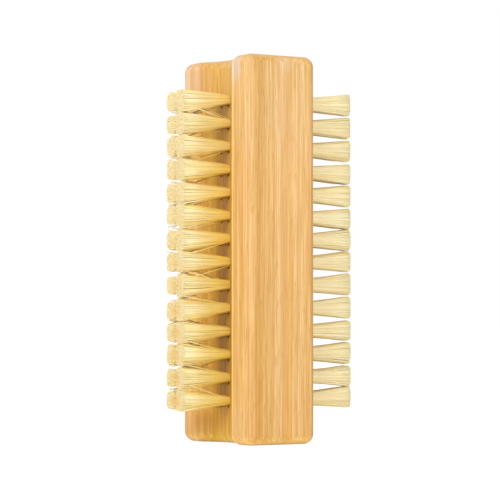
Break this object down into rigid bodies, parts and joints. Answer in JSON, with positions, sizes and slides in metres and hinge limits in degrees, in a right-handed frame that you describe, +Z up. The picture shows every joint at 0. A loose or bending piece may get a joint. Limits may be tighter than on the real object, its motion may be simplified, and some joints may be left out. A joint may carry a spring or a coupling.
{
  "type": "nail brush",
  "caption": "Double-sided nail brush: a bamboo block with a grooved front face and a flat back face, both set with rows of trimmed plant-fibre tufts.",
  "frame": {"origin": "centre of the block's lower end face, on which the brush stands", "axes": "+Z up along the block's length; +X along the back bristles, out of the flat back face; -X out of the grooved front face; Y across the width"},
  "size_m": [0.049, 0.032, 0.095],
  "materials": {
    "bamboo": "satin lacquered bamboo with fine lengthwise grain",
    "fibre": "plant-fibre bristle, pale straw with golden shading, cut square at the tips",
    "staple_wire": "flat steel wire, hidden in the holes"
  },
  "bodies": {
    "root": {"bamboo_block": "bamboo", "front_near_tuft_1": "fibre", "front_near_tuft_2": "fibre", "front_near_tuft_3": "fibre", "front_near_tuft_4": "fibre", "front_near_tuft_5": "fibre", "front_near_tuft_6": "fibre", "front_near_tuft_7": "fibre", "front_near_tuft_8": "fibre", "front_near_tuft_9": "fibre", "front_near_tuft_10": "fibre", "front_near_tuft_11": "fibre", "front_near_tuft_12": "fibre", "front_near_tuft_13": "fibre", "front_near_tuft_14": "fibre", "front_far_tuft_1": "fibre", "front_far_tuft_2": "fibre", "front_far_tuft_3": "fibre", "front_far_tuft_4": "fibre", "front_far_tuft_5": "fibre", "front_far_tuft_6": "fibre", "front_far_tuft_7": "fibre", "front_far_tuft_8": "fibre", "front_far_tuft_9": "fibre", "front_far_tuft_10": "fibre", "front_far_tuft_11": "fibre", "front_far_tuft_12": "fibre", "front_far_tuft_13": "fibre", "front_far_tuft_14": "fibre", "back_near_tuft_1": "fibre", "back_near_tuft_2": "fibre", "back_near_tuft_3": "fibre", "back_near_tuft_4": "fibre", "back_near_tuft_5": "fibre", "back_near_tuft_6": "fibre", "back_near_tuft_7": "fibre", "back_near_tuft_8": "fibre", "back_near_tuft_9": "fibre", "back_near_tuft_10": "fibre", "back_near_tuft_11": "fibre", "back_near_tuft_12": "fibre", "back_near_tuft_13": "fibre", "back_near_tuft_14": "fibre", "back_far_tuft_1": "fibre", "back_far_tuft_2": "fibre", "back_far_tuft_3": "fibre", "back_far_tuft_4": "fibre", "back_far_tuft_5": "fibre", "back_far_tuft_6": "fibre", "back_far_tuft_7": "fibre", "back_far_tuft_8": "fibre", "back_far_tuft_9": "fibre", "back_far_tuft_10": "fibre", "back_far_tuft_11": "fibre", "back_far_tuft_12": "fibre", "back_far_tuft_13": "fibre", "back_far_tuft_14": "fibre", "front_staples": "staple_wire", "back_staples": "staple_wire"}
  },
  "joints": []
}
